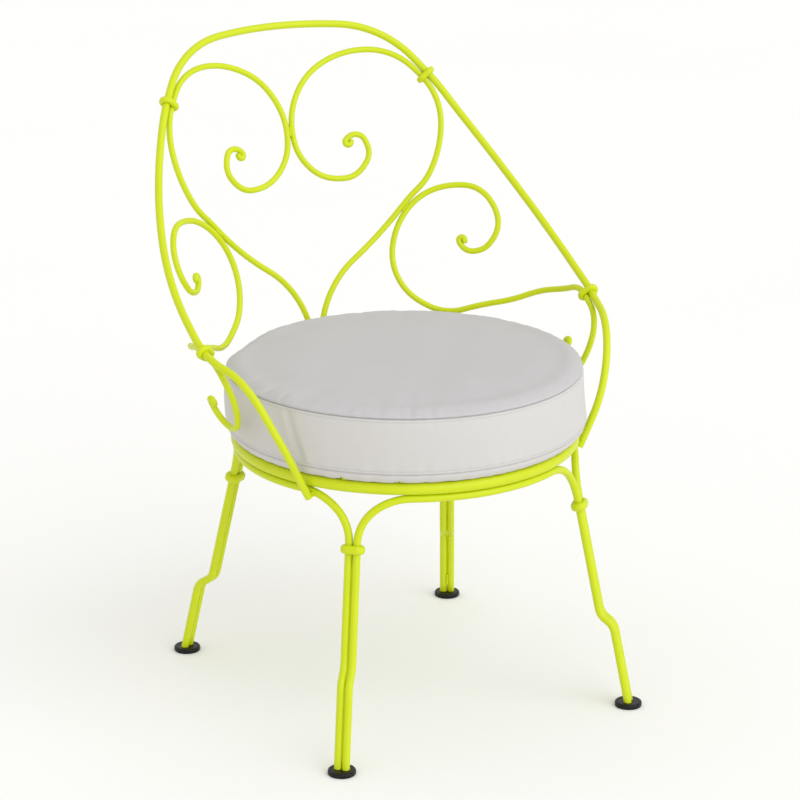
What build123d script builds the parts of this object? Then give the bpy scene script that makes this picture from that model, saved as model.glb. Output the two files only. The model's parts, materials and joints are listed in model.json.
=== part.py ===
from build123d import *

import os
from collections import namedtuple
from math import acos, asin, cos, degrees, radians, sin, sqrt, tan

# Garden armchair of bent and welded rod with a loose round box cushion.
# Millimetres, +Z up, the chair faces -Y, so the sitter's left is +X.
# The origin is on the floor, below the middle of the whole chair.

# Rod and tube diameters
ring_tube = 16.0
leg_rod = 10.2
hoop_rod = 10.0
scroll_rod = 8.2

# Gaps left between welded pieces, between a leg's two rods, inside collars and under the cushion
weld_gap = 0.2
pair_gap = 0.4
collar_gap = 0.35
cushion_gap = 0.3

# Seat ring and the flat bars that lie across it
ring_radius = 222.5
ring_height = 354.5
bar_width = 10.0
bar_thickness = 3.0
bar_pitch = 56.0
bars_each_side = 3
bar_end_margin = 0.5

# Legs: the angle, the splay and the turn of the rod pair are measured from straight ahead or straight back
front_angle = 46.2
rear_angle = 45.0
front_splay = 40.8
rear_splay = 31.2
front_pair_turn = 47.0
rear_pair_turn = 29.0
front_lean = 11.9
rear_lean = 13.9
front_collar_height = 275.0
rear_collar_height = 270.0
front_jog_height = 119.0
rear_jog_height = 111.0
front_jog_out = 15.9
rear_jog_out = 19.0
jog_length = 31.0
arch_spread = 72.0

# Collars: bands round two rods, rounded on the outside
collar_thickness = 5.2
leg_collar_width = 11.5
back_collar_width = 8.5
collar_round_share = 0.85
collar_clear_share = 0.6

# Feet
glide_diameter = 36.0
glide_height = 6.5
glide_rim_round = 2.4
glide_base_round = 1.2
plate_diameter = 26.0
plate_thickness = 2.5
plate_recess = 2.9
rod_end_dip = 4.0

# Back: the rods lie on a leaning surface whose bow gets flatter towards the top
arm_overhang = 69.5
back_rise = 484.5
back_lean = 15.85
back_setback = 28.7
setback_level = 95.5
bow_share = 0.333
bow_flare = 0.454
arm_end_angle = 28.8
arm_end_lean = 28.0
arm_end_past = 2.5
heart_end_drop = 6.0
heart_part_share = 0.090
heart_twin_share = 0.711
cushion_room = 1.5

# Tightly rolled scroll ends
roll_radius = 4.2
roll_turn = 235.0

# Cushion
cushion_overhang = 13.0
seam_draw = 2.5
base_round = 10.0
band_height = 74.0
crown_height = 12.0
shoulder_width = 26.0
shoulder_share = 0.72
shoulder_bend_in = 0.32
shoulder_bend_up = 0.62
cover_cloth = 1.5
foam_gap = 0.2

# Worked out from the sizes above
half_width = ring_radius + arm_overhang
arch_height = ring_height - (ring_tube + leg_rod) / 2 - weld_gap
plate_floor = glide_height - plate_recess + weld_gap
plate_top = plate_floor + plate_thickness
bar_floor = ring_height + ring_tube / 2 + weld_gap
cushion_floor = bar_floor + bar_thickness + cushion_gap
STRAIGHT = 0.02
PARALLEL = 1e-9
FACING = 0.999


def leg_reach(lean, height):
    """How far out from under the ring a leg's lean has brought it at a height."""
    return tan(radians(lean)) * (arch_height - height)


def back_depth(across, height):
    """Distance behind the seat's axis of the back's surface, for a width and a height."""
    bow = half_width + bow_flare * (height - ring_height - bow_share * back_rise)
    leaning = tan(radians(back_lean)) * (height - ring_height - setback_level)
    return ring_radius + back_setback + leaning - (bow - sqrt(bow**2 - across**2))


# The seat's axis stands ahead of the origin, midway between the front glides and the hoop's top
front_foot = (leg_reach(front_lean, plate_top) + front_jog_out) * cos(radians(front_splay))
front_edge = ring_radius * cos(radians(front_angle)) + front_foot + glide_diameter / 2
rear_edge = back_depth(0, ring_height + back_rise) + hoop_rod / 2
seat_axis_y = (front_edge - rear_edge) / 2


def at(x, depth, height):
    """Point given by its distance across, behind the seat's axis and above the floor."""
    return Vector(x, seat_axis_y + depth, height)


def polar(radius, angle, height):
    """Point at a radius from the seat's axis, with the angle counted from +X towards +Y."""
    return at(radius * cos(radians(angle)), radius * sin(radians(angle)), height)


def on_back(across, rise):
    """Point of the back's surface, in shares of the half width and of the back's rise."""
    height = ring_height + rise * back_rise
    return at(across * half_width, back_depth(across * half_width, height), height)


def off_back(across, behind, rise):
    """Point off the back's surface, with its depth in shares of the ring's radius."""
    return at(across * half_width, behind * ring_radius, ring_height + rise * back_rise)


def square_to(heading, wish):
    """Unit vector square to a heading and as near as possible to the wished direction."""
    return (wish - heading * heading.dot(wish)).normalized()


def headings(points, start=None, end=None, fixed=None):
    """Directions of a smooth rod through its points, each from the circle through three of them."""
    found = []
    for before, here, after in zip(points, points[1:], points[2:]):
        chord_in = here - before
        chord_out = after - here
        ratio = chord_out.length / chord_in.length
        found.append((chord_in * ratio + chord_out * (1 / ratio)).normalized())
    for index, heading in (fixed or {}).items():
        found[index - 1] = heading
    first = (points[1] - points[0]).normalized()
    last = (points[-1] - points[-2]).normalized()
    start = start or first * (2 * first.dot(found[0])) - found[0]
    end = end or last * (2 * last.dot(found[-1])) - found[-1]
    return [start, *found, end]


def reverse(points, directions):
    """The same rod, followed from its other end."""
    return points[::-1], [direction * -1 for direction in directions[::-1]]


def roll_up(points, directions):
    """Carry a rod on into a tight roll that turns the way the rod bends at its end."""
    end = points[-1]
    heading = directions[-1]
    inward = square_to(heading, points[-2] - end)
    centre = end + inward * roll_radius
    rolled = list(points)
    turned = list(directions)
    for share in (1 / 3, 2 / 3, 1):
        angle = radians(roll_turn * share)
        rolled.append(centre + (heading * sin(angle) - inward * cos(angle)) * roll_radius)
        turned.append(heading * cos(angle) + inward * sin(angle))
    return rolled, turned


def bend(start, heading, end):
    """One arc of a rod's middle line, or a line where the run is straight."""
    if heading.get_angle(end - start) < STRAIGHT:
        Line(start, end)
    else:
        TangentArc(start, end, tangent=heading)


def double_bend(start, start_heading, end, end_heading):
    """Two arcs that leave and arrive in the given directions and meet smoothly."""
    chord = end - start
    if start_heading.get_angle(chord) < STRAIGHT and end_heading.get_angle(chord) < STRAIGHT:
        Line(start, end)
        return
    along = chord.dot(start_heading + end_heading)
    turn = 2 * (1 - start_heading.dot(end_heading))
    if turn < PARALLEL:
        arm = chord.dot(chord) / (2 * along)
    else:
        arm = (sqrt(along**2 + turn * chord.dot(chord)) - along) / turn
    near = start + start_heading * arm
    far = end - end_heading * arm
    middle = (near + far) * 0.5
    bend(start, start_heading, middle)
    bend(middle, (far - near).normalized(), end)


def middle_line(points, directions):
    """Middle line of a rod through its points, leaving each in its direction."""
    with BuildLine() as line:
        for first in range(len(points) - 1):
            double_bend(points[first], directions[first], points[first + 1], directions[first + 1])
    return line.wire()


def rod(points, directions, diameter, tips=()):
    """Round rod along its middle line, with a dome on each named tip."""
    route = middle_line(points, directions)
    with BuildPart() as swept:
        with BuildLine():
            add(route)
        with BuildSketch(Plane(points[0], z_dir=directions[0])):
            Circle(diameter / 2)
        sweep()
        for tip, outward in tips:
            with Locations(Plane(tip, z_dir=outward)):
                Sphere(diameter / 2, arc_size1=0)
    return swept.part


def mirrored(vectors):
    """The same vectors on the chair's other side."""
    return [Vector(-vector.X, vector.Y, vector.Z) for vector in vectors]


def belt(spacing, wrap, other_wrap):
    """Face inside a belt drawn round two circles, the first at the origin and the other along X."""
    lean = acos((wrap - other_wrap) / spacing)
    low = Vector(wrap * cos(lean), -wrap * sin(lean))
    other_low = Vector(spacing + other_wrap * cos(lean), -other_wrap * sin(lean))
    high = Vector(low.X, -low.Y)
    other_high = Vector(other_low.X, -other_low.Y)
    with BuildSketch() as inside:
        with BuildLine():
            Line(low, other_low)
            ThreePointArc(other_low, (spacing + other_wrap, 0), other_high)
            Line(other_high, high)
            ThreePointArc(high, (-wrap, 0), low)
        make_face()
    return inside.sketch


def collar(centre, diameter, other_centre, other_diameter, heading, width):
    """Band wrapped round two rods that lie side by side, rounded on the outside."""
    spacing = (other_centre - centre).length
    wrap = diameter / 2 + collar_gap
    other_wrap = other_diameter / 2 + collar_gap
    across = Plane(centre, x_dir=other_centre - centre, z_dir=heading)
    with BuildPart() as band:
        with BuildSketch(across.offset(-width / 2)):
            add(belt(spacing, wrap + collar_thickness, other_wrap + collar_thickness))
            add(belt(spacing, wrap, other_wrap), mode=Mode.SUBTRACT)
        extrude(amount=width)
        ends = [face for face in band.faces() if abs(face.normal_at().dot(heading)) > FACING]
        rims = [edge for face in ends for edge in face.outer_wire().edges()]
        fillet(rims, min(collar_thickness, width / 2) * collar_round_share)
    return band.part


def save(part, name):
    """Label a finished piece and write it to its own file."""
    part.label = name
    export_step(part, f"parts/{name}.step")


os.makedirs("parts", exist_ok=True)

# Seat ring
with BuildPart() as seat_ring:
    with BuildSketch(Plane(at(0, 0, ring_height), x_dir=(1, 0, 0), z_dir=(0, -1, 0))):
        with Locations((ring_radius, 0)):
            Circle(ring_tube / 2)
    revolve(axis=Axis(at(0, 0, 0), (0, 0, 1)))
save(seat_ring.part, "seat_ring")

# Seat bars, side by side across the ring from front to back
with BuildPart() as seat_bars:
    for step in range(-bars_each_side, bars_each_side + 1):
        across = step * bar_pitch
        half_span = sqrt((ring_radius + bar_end_margin) ** 2 - across**2)
        with Locations(at(across, 0, bar_floor)):
            Box(bar_width, 2 * half_span, bar_thickness, align=(Align.CENTER, Align.CENTER, Align.MIN))
save(seat_bars.part, "seat_bars")

# Legs in the order of their angles, counted from +X towards +Y
Leg = namedtuple("Leg", "angle splay pair_turn lean collar_height jog_height jog_out")
front_sizes = (front_lean, front_collar_height, front_jog_height, front_jog_out)
rear_sizes = (rear_lean, rear_collar_height, rear_jog_height, rear_jog_out)
legs = {
    "front_left": Leg(270 + front_angle, 270 + front_splay, 270 + front_pair_turn, *front_sizes),
    "rear_left": Leg(90 - rear_angle, 90 - rear_splay, 90 - rear_pair_turn, *rear_sizes),
    "rear_right": Leg(90 + rear_angle, 90 + rear_splay, 90 + rear_pair_turn, *rear_sizes),
    "front_right": Leg(270 - front_angle, 270 - front_splay, 270 - front_pair_turn, *front_sizes),
}


def facing(angle):
    """Level unit vector at an angle counted from +X towards +Y."""
    return Vector(cos(radians(angle)), sin(radians(angle)), 0)


def leg_middle(leg, height):
    """Point midway between a leg's two rods, at a height above or below its jog."""
    out = leg_reach(leg.lean, height) + (leg.jog_out if height < leg.jog_height else 0)
    return polar(ring_radius, leg.angle, height) + facing(leg.splay) * out


def leg_upward(leg):
    """Direction in which a leg's rods rise."""
    return (Vector(0, 0, 1) - facing(leg.splay) * tan(radians(leg.lean))).normalized()


def beside_leg(leg, side):
    """Step from a leg's middle to the middle of one of its rods, on one side or the other."""
    return facing(leg.pair_turn + 90) * (side * (leg_rod + pair_gap) / 2)


def leg_line(leg, side):
    """Points and directions of one rod of a leg, from below its foot to above its collar."""
    heights = [
        plate_top - rod_end_dip,
        leg.jog_height - jog_length / 2,
        leg.jog_height + jog_length / 2,
        leg.collar_height + leg_collar_width * collar_clear_share,
    ]
    points = [leg_middle(leg, height) + beside_leg(leg, side) for height in heights]
    return points, [leg_upward(leg)] * len(points)


def arch_route(first, second):
    """Points and directions from one foot up, along under the seat ring and down to the next foot."""
    spread = degrees(arch_spread / ring_radius)
    up, up_headings = leg_line(first, 1)
    down, down_headings = reverse(*leg_line(second, -1))
    joins = [first.angle + spread, second.angle - spread]
    along = [polar(ring_radius, angle, arch_height) for angle in joins]
    turns = [facing(angle + 90) for angle in joins]
    return [*up, *along, *down], [*up_headings, *turns, *down_headings]


def leg_arch(first, second):
    """Rod of two legs and the arch between them, cut off level above the foot plates."""
    whole = rod(*arch_route(first, second), leg_rod)
    with BuildPart() as arch:
        add(whole)
        split(bisect_by=Plane.XY.offset(plate_top + weld_gap), keep=Keep.TOP)
    return arch.part


# Leg arches, each from one leg to the next round the ring
all_legs = list(legs.values())
for arch_name, first_leg, next_leg in zip(
    ("left", "rear", "right", "front"), all_legs, all_legs[1:] + all_legs[:1]
):
    save(leg_arch(first_leg, next_leg), f"{arch_name}_leg_arch")

for leg_name, leg in legs.items():
    # Collar round the leg's two rods
    middle = leg_middle(leg, leg.collar_height)
    one_rod = middle + beside_leg(leg, -1)
    other_rod = middle + beside_leg(leg, 1)
    leg_collar = collar(one_rod, leg_rod, other_rod, leg_rod, leg_upward(leg), leg_collar_width)
    save(leg_collar, f"{leg_name}_leg_collar")

    # Glide with a recess for the foot plate, and the plate under the rods' ends
    foot = leg_middle(leg, plate_top)
    foot.Z = 0
    with BuildPart() as glide:
        with Locations(foot):
            Cylinder(glide_diameter / 2, glide_height, align=(Align.CENTER, Align.CENTER, Align.MIN))
        rims = glide.edges().filter_by(GeomType.CIRCLE).sort_by(Axis.Z)
        fillet(rims[-1], glide_rim_round)
        fillet(rims[0], glide_base_round)
        with Locations(foot + Vector(0, 0, glide_height)):
            Hole(plate_diameter / 2 + weld_gap, plate_recess)
    save(glide.part, f"{leg_name}_glide")
    with BuildPart() as foot_plate:
        with Locations(foot + Vector(0, 0, plate_floor)):
            Cylinder(plate_diameter / 2, plate_thickness, align=(Align.CENTER, Align.CENTER, Align.MIN))
    save(foot_plate.part, f"{leg_name}_foot_plate")

# Seat of the sitter's left arm, on the outer side of the side arch just under the ring
side_arch = middle_line(*arch_route(legs["front_left"], legs["rear_left"]))
arch_spot = side_arch.closest_points(polar(ring_radius, -arm_end_angle, arch_height))[0]
arm_heading = Vector(tan(radians(arm_end_lean)), 0, 1).normalized()
away_from_arch = side_arch.tangent_at(arch_spot).cross(arm_heading).normalized()
arm_seat = arch_spot + away_from_arch * ((leg_rod + hoop_rod) / 2 + weld_gap)
arm_end = arm_seat - arm_heading * arm_end_past

# Back hoop, from one arm's end over the top to the other
hoop_half = [
    arm_end,
    arm_seat,
    off_back(0.827, -0.474, 0.121),
    off_back(0.921, -0.310, 0.253),
    off_back(0.996, 0.014, 0.318),
    on_back(0.998, 0.373),
    on_back(0.795, 0.734),
    on_back(0.686, 0.851),
    on_back(0.579, 0.929),
    on_back(0.000, 1.000),
]
hoop_points = hoop_half + mirrored(hoop_half[-2::-1])
other_arm_heading = Vector(arm_heading.X, -arm_heading.Y, -arm_heading.Z)
hoop_headings = headings(
    hoop_points,
    start=arm_heading,
    end=other_arm_heading,
    fixed={1: arm_heading, len(hoop_points) - 2: other_arm_heading},
)
save(rod(hoop_points, hoop_headings, hoop_rod), "back_hoop")

# Places where a scroll is tied in under the inner side of the hoop
tuck = (hoop_rod + scroll_rod) / 2 + weld_gap
inward_and_down = Vector(-1, 0, -1)
lower_hold, lower_heading = hoop_points[4], hoop_headings[4]
upper_hold, upper_heading = hoop_points[7], hoop_headings[7]
lower_tie = lower_hold + square_to(lower_heading, inward_and_down) * tuck
upper_tie = upper_hold + square_to(upper_heading, inward_and_down) * tuck

# Heart scroll of the sitter's left, from the ring's rear up, out, over and down the middle
beside_twin = (scroll_rod + weld_gap) / 2
ring_rear = ring_radius + (ring_tube + scroll_rod) / 2 + weld_gap
part_height = ring_height + heart_part_share * back_rise
twin_height = ring_height + heart_twin_share * back_rise
behind_cushion = ring_radius + cushion_overhang + cushion_room + scroll_rod / 2
heart_foot = at(beside_twin, ring_rear, ring_height - heart_end_drop)
heart_part = at(beside_twin, behind_cushion, part_height)
heart_points = [
    heart_foot,
    heart_part,
    on_back(0.037, 0.185),
    on_back(0.492, 0.488),
    on_back(0.631, 0.583),
    upper_tie,
    on_back(0.550, 0.902),
    on_back(0.321, 0.912),
    on_back(0.082, 0.826),
    at(beside_twin, back_depth(beside_twin, twin_height), twin_height),
    on_back(0.037, 0.642),
    on_back(0.187, 0.571),
    on_back(0.313, 0.582),
    on_back(0.375, 0.652),
    on_back(0.338, 0.686),
    on_back(0.274, 0.672),
]
down_the_back = Vector(0, -tan(radians(back_lean)), -1).normalized()
heart_headings = headings(
    heart_points,
    start=Vector(0, 0, 1),
    fixed={1: (heart_part - heart_foot).normalized(), 5: upper_heading, 9: down_the_back},
)
heart_touch, touch_heading = heart_points[3], heart_headings[3]

# Side scroll of the sitter's left, from its upper roll round the heart and the hoop to its hook
down_and_out = on_back(0.512, 0.476) - heart_touch
side_touch = heart_touch + square_to(touch_heading, down_and_out) * (scroll_rod + weld_gap)
side_points = [
    on_back(0.690, 0.391),
    on_back(0.709, 0.370),
    on_back(0.760, 0.372),
    on_back(0.815, 0.409),
    on_back(0.822, 0.521),
    on_back(0.657, 0.537),
    side_touch,
    on_back(0.438, 0.264),
    on_back(0.534, 0.209),
    on_back(0.770, 0.236),
    off_back(0.945, 0.321, 0.292),
    lower_tie,
    off_back(0.953, -0.115, 0.256),
    off_back(0.906, -0.146, 0.170),
    off_back(0.878, -0.060, 0.107),
    off_back(0.882, 0.080, 0.109),
    off_back(0.924, 0.134, 0.165),
]
side_headings = headings(side_points, fixed={6: touch_heading * -1, 11: lower_heading * -1})

heart_points, heart_headings = roll_up(heart_points, heart_headings)
side_points, side_headings = roll_up(side_points, side_headings)
side_points, side_headings = reverse(*roll_up(*reverse(side_points, side_headings)))

scrolls = {
    "heart": (heart_points, heart_headings, [(heart_points[-1], heart_headings[-1])]),
    "side": (
        side_points,
        side_headings,
        [(side_points[0], side_headings[0] * -1), (side_points[-1], side_headings[-1])],
    ),
}

for side_name, turn_over in (("left", list), ("right", mirrored)):
    for scroll_name, (points, directions, tips) in scrolls.items():
        side_tips = [turn_over(tip) for tip in tips]
        scroll = rod(turn_over(points), turn_over(directions), scroll_rod, side_tips)
        save(scroll, f"{side_name}_{scroll_name}_scroll")
    for collar_name, tied in (
        ("upper", (upper_hold, upper_tie, upper_heading)),
        ("lower", (lower_hold, lower_tie, lower_heading)),
    ):
        hold, tie, heading = turn_over(tied)
        back_collar = collar(hold, hoop_rod, tie, scroll_rod, heading, back_collar_width)
        save(back_collar, f"{side_name}_{collar_name}_collar")


def cushion_outline(inset):
    """Named points (radius, height) of the cushion's half section, drawn in by an inset."""
    seam = ring_radius + cushion_overhang - seam_draw - inset
    floor = cushion_floor + inset
    low_seam = cushion_floor + base_round
    high_seam = low_seam + band_height
    crown = high_seam + crown_height - inset
    shoulder = seam - shoulder_width
    shoulder_top = high_seam + (crown_height - inset) * shoulder_share
    shoulder_turn_height = high_seam + (shoulder_top - high_seam) * shoulder_bend_up
    turn = sin(radians(45))
    return {
        "floor_middle": (0, floor),
        "floor_edge": (seam - base_round, floor),
        "base_turn": (seam - base_round * (1 - turn), low_seam - (low_seam - floor) * turn),
        "low_seam": (seam, low_seam),
        "band_middle": (seam + seam_draw, (low_seam + high_seam) / 2),
        "high_seam": (seam, high_seam),
        "shoulder_turn": (seam - shoulder_width * shoulder_bend_in, shoulder_turn_height),
        "shoulder": (shoulder, shoulder_top),
        "crown": (0, crown),
    }


def crown_arc(outline):
    """Arc of the crown from its shoulder to the seat's axis, centred on that axis."""
    reach, shoulder_top = outline["shoulder"]
    crown = outline["crown"][1]
    sag = crown - shoulder_top
    radius = (reach**2 + sag**2) / (2 * sag)
    half_angle = degrees(asin(reach / radius))
    CenterArc((0, crown - radius), radius, 90 - half_angle, half_angle)


section_plane = Plane(at(0, 0, 0), x_dir=(1, 0, 0), z_dir=(0, -1, 0))
seat_axis = Axis(at(0, 0, 0), (0, 0, 1))
outer = cushion_outline(0)
inner = cushion_outline(cover_cloth)
core = cushion_outline(cover_cloth + foam_gap)

# Cushion foam
with BuildPart() as cushion_foam:
    with BuildSketch(section_plane):
        with BuildLine():
            Line(core["floor_middle"], core["floor_edge"])
            ThreePointArc(core["floor_edge"], core["base_turn"], core["low_seam"])
            ThreePointArc(core["low_seam"], core["band_middle"], core["high_seam"])
            ThreePointArc(core["high_seam"], core["shoulder_turn"], core["shoulder"])
            crown_arc(core)
            Line(core["crown"], core["floor_middle"])
        make_face()
    revolve(axis=seat_axis)
save(cushion_foam.part, "cushion_foam")

# Top panel of the cover, with its rounded shoulder and low crown
with BuildPart() as cover_top:
    with BuildSketch(section_plane):
        with BuildLine():
            ThreePointArc(outer["high_seam"], outer["shoulder_turn"], outer["shoulder"])
            crown_arc(outer)
            Line(outer["crown"], inner["crown"])
            crown_arc(inner)
            ThreePointArc(inner["shoulder"], inner["shoulder_turn"], inner["high_seam"])
            Line(inner["high_seam"], outer["high_seam"])
        make_face()
    revolve(axis=seat_axis)
save(cover_top.part, "cover_top")

# Side band of the cover, drawn in at both seams
with BuildPart() as cover_band:
    with BuildSketch(section_plane):
        with BuildLine():
            ThreePointArc(outer["low_seam"], outer["band_middle"], outer["high_seam"])
            Line(outer["high_seam"], inner["high_seam"])
            ThreePointArc(inner["high_seam"], inner["band_middle"], inner["low_seam"])
            Line(inner["low_seam"], outer["low_seam"])
        make_face()
    revolve(axis=seat_axis)
save(cover_band.part, "cover_band")

# Bottom panel of the cover, flat where it lies on the bars
with BuildPart() as cover_bottom:
    with BuildSketch(section_plane):
        with BuildLine():
            Line(outer["floor_middle"], outer["floor_edge"])
            ThreePointArc(outer["floor_edge"], outer["base_turn"], outer["low_seam"])
            Line(outer["low_seam"], inner["low_seam"])
            ThreePointArc(inner["low_seam"], inner["base_turn"], inner["floor_edge"])
            Line(inner["floor_edge"], inner["floor_middle"])
            Line(inner["floor_middle"], outer["floor_middle"])
        make_face()
    revolve(axis=seat_axis)
save(cover_bottom.part, "cover_bottom")
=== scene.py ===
"""Looks of a garden armchair: bent, welded and lime-coated rod with a loose round box cushion.

Metres, +Z up. The chair faces -Y, so the sitter's left is +X.
"""

import json
import logging
import math
from dataclasses import dataclass, field
from enum import Enum
from typing import Any

import bpy
import numpy as np
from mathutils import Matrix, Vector
from mathutils.bvhtree import BVHTree


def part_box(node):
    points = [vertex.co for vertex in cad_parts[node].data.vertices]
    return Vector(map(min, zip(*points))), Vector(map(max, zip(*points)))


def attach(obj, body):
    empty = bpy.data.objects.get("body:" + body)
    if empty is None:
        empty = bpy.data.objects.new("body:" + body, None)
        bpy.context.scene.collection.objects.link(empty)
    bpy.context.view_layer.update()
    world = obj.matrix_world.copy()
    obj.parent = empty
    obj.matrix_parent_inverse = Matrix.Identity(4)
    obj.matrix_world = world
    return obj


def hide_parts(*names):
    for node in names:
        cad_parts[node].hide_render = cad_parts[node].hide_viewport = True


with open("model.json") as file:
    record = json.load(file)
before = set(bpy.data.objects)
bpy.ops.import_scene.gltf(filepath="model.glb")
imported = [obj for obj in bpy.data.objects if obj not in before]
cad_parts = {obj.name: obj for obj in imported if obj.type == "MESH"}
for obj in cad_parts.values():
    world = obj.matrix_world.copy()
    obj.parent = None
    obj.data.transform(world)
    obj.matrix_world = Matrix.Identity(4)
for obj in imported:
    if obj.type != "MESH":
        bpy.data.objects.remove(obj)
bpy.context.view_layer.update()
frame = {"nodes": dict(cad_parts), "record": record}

LOG = logging.getLogger("garden_armchair")
MM = 0.001
# Point attribute for painted shadow: it darkens the cloth's colour along both seams.
SEAM_SHADOW = "seam"
ARCHES = ("left_leg_arch", "rear_leg_arch", "right_leg_arch", "front_leg_arch")
LEGS = ("front_left", "rear_left", "rear_right", "front_right")
Array = np.ndarray
Colour = tuple[float, float, float]
Material = bpy.types.Material
Mesh = bpy.types.Mesh
Socket = bpy.types.NodeSocket


class Body(Enum):
    """Rigid bodies of the chair that pieces ride on."""

    FRAME = "chair_frame"
    CUSHION = "cushion"


class Slot(Enum):
    """Material slots of the record that scene pieces belong to."""

    COAT = "lime_coat"
    GLIDE = "glide_plastic"
    PLATE = "foot_plate_steel"
    CLOTH = "cushion_cloth"


class ClothLay(Enum):
    """How the cloth's threads lie on a panel."""

    FLAT = "flat"
    ROUND = "round"


class Reading:
    """A number that varies; Python's operators add Math nodes for it."""

    def __init__(self, wiring: "Wiring", socket: Socket) -> None:
        """Keep the tree and the socket that carries the number."""
        self.wiring = wiring
        self.socket = socket

    def through(self, operation: str, *others: Any) -> "Reading":
        """Pass the number through a Math node.

        Args:
            operation: the Math node's operation.
            others: further operands, numbers or readings.

        Returns:
            The result as a reading.
        """
        operands = dict(enumerate((self, *others)))
        made = self.wiring.node("ShaderNodeMath", operands, operation=operation)
        return Reading(self.wiring, made.outputs[0])

    def __add__(self, other: Any) -> "Reading":
        """Sum of two numbers."""
        return self.through("ADD", other)

    def __sub__(self, other: Any) -> "Reading":
        """Difference of two numbers."""
        return self.through("SUBTRACT", other)

    def __rsub__(self, other: Any) -> "Reading":
        """Difference with this number taken away."""
        made = self.wiring.node("ShaderNodeMath", {0: other, 1: self}, operation="SUBTRACT")
        return Reading(self.wiring, made.outputs[0])

    def __mul__(self, other: Any) -> "Reading":
        """Product of two numbers."""
        return self.through("MULTIPLY", other)

    def __truediv__(self, other: Any) -> "Reading":
        """Quotient of two numbers."""
        return self.through("DIVIDE", other)

    def __pow__(self, other: Any) -> "Reading":
        """This number raised to a power."""
        return self.through("POWER", other)

    def mixed(self, other: "Reading", share: float) -> "Reading":
        """A share of this number and the rest of another."""
        return self * share + other * (1.0 - share)


class Wiring:
    """A node tree that is filled in plain calls."""

    def __init__(self, tree: bpy.types.NodeTree) -> None:
        """Keep the tree."""
        self.tree = tree

    def node(self, kind: str, inputs: dict[str | int, Any] | None = None, **settings: Any) -> bpy.types.Node:
        """Add a node to the tree.

        Args:
            kind: Blender's type name of the node.
            inputs: socket names or numbers with their values, readings or linked sockets.
            settings: properties of the node, set before its sockets.

        Returns:
            The new node.
        """
        made = self.tree.nodes.new(kind)
        for name, value in settings.items():
            setattr(made, name, value)
        for name, value in (inputs or {}).items():
            self.feed(made.inputs[name], value)
        return made

    def feed(self, socket: Socket, value: Any) -> None:
        """Link a reading or a socket to an input, or set a plain value on it."""
        if isinstance(value, Reading):
            self.tree.links.new(value.socket, socket)
        elif isinstance(value, Socket):
            self.tree.links.new(value, socket)
        elif socket.type == "RGBA" and len(value) == 3:
            socket.default_value = (*value, 1.0)
        else:
            socket.default_value = value


class Paint(Wiring):
    """One material's node tree round a Principled shader."""

    def __init__(self, name: str) -> None:
        """Start an empty material of that name."""
        self.material = bpy.data.materials.new(name)
        self.material.use_nodes = True
        super().__init__(self.material.node_tree)
        self.tree.nodes.clear()
        self.skin = self.node("ShaderNodeBsdfPrincipled")
        output = self.node("ShaderNodeOutputMaterial", {"Surface": self.skin.outputs[0]})
        output.is_active_output = True

    def place(self) -> Socket:
        """Position on the piece, in metres of the chair's own frame."""
        return self.node("ShaderNodeTexCoord").outputs["Object"]

    def split(self, vector: Socket) -> tuple[Reading, Reading, Reading]:
        """The three numbers of a vector."""
        parts = self.node("ShaderNodeSeparateXYZ", {0: vector}).outputs
        return Reading(self, parts[0]), Reading(self, parts[1]), Reading(self, parts[2])

    def noise(self, vector: Socket, size: float, detail: float = 2.0) -> Reading:
        """Cloudy number from 0 to 1.

        Args:
            vector: where the noise is read.
            size: width of one cloud in metres.
            detail: octaves of finer noise.

        Returns:
            The noise as a reading.
        """
        made = self.node("ShaderNodeTexNoise", {"Vector": vector, "Scale": 1.0 / size, "Detail": detail})
        return Reading(self, made.outputs[0])

    def blend(self, share: Any, first: Any, second: Any) -> Socket:
        """Mix two colours.

        Args:
            share: how much of the second colour shows, a number or a reading.
            first: colour or colour socket at share 0.
            second: colour or colour socket at share 1.

        Returns:
            The mixed colour's socket.
        """
        made = self.node("ShaderNodeMix", {0: share, 6: first, 7: second}, data_type="RGBA")
        return made.outputs[2]

    def bump(self, height: Reading, depth: float) -> Socket:
        """Normal of a surface whose height varies.

        Args:
            height: the height's reading, in shares of the depth.
            depth: the whole relief in metres.

        Returns:
            The normal's socket.
        """
        return self.node("ShaderNodeBump", {"Distance": depth, "Height": height}).outputs[0]

    def finish(self, **inputs: Any) -> Material:
        """Set the Principled shader's sockets.

        Args:
            inputs: socket names, with _ for a space, and their values.

        Returns:
            The finished material.
        """
        for name, value in inputs.items():
            self.feed(self.skin.inputs[name.replace("_", " ")], value)
        return self.material


@dataclass(frozen=True)
class PowderCoat:
    """Satin powder coat on the rods, with its faint orange peel."""

    name: str = "lime_powder_coat"
    lime: Colour = (0.625, 0.715, 0.006)
    deep_lime: Colour = (0.545, 0.640, 0.003)
    cloud_size: float = 0.060
    peel_size: float = 0.0022
    peel_depth: float = 0.00006
    speck_size: float = 0.0006
    cloud_share: float = 0.7
    peel_share: float = 0.6
    relief_share: float = 0.8
    roughness: float = 0.38
    roughness_swing: float = 0.12
    specular: float = 0.35

    def material(self) -> Material:
        """The coat as a material."""
        paint = Paint(self.name)
        place = paint.place()
        cloud = paint.noise(place, self.cloud_size, detail=3.0)
        peel = paint.noise(place, self.peel_size, detail=1.0)
        speck = paint.noise(place, self.speck_size, detail=0.0)
        return paint.finish(
            Base_Color=paint.blend(cloud.mixed(speck, self.cloud_share), self.lime, self.deep_lime),
            Roughness=(peel.mixed(cloud, self.peel_share) - 0.5) * self.roughness_swing + self.roughness,
            Normal=paint.bump(peel.mixed(speck, self.relief_share), self.peel_depth),
            Specular_IOR_Level=self.specular,
        )


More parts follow.
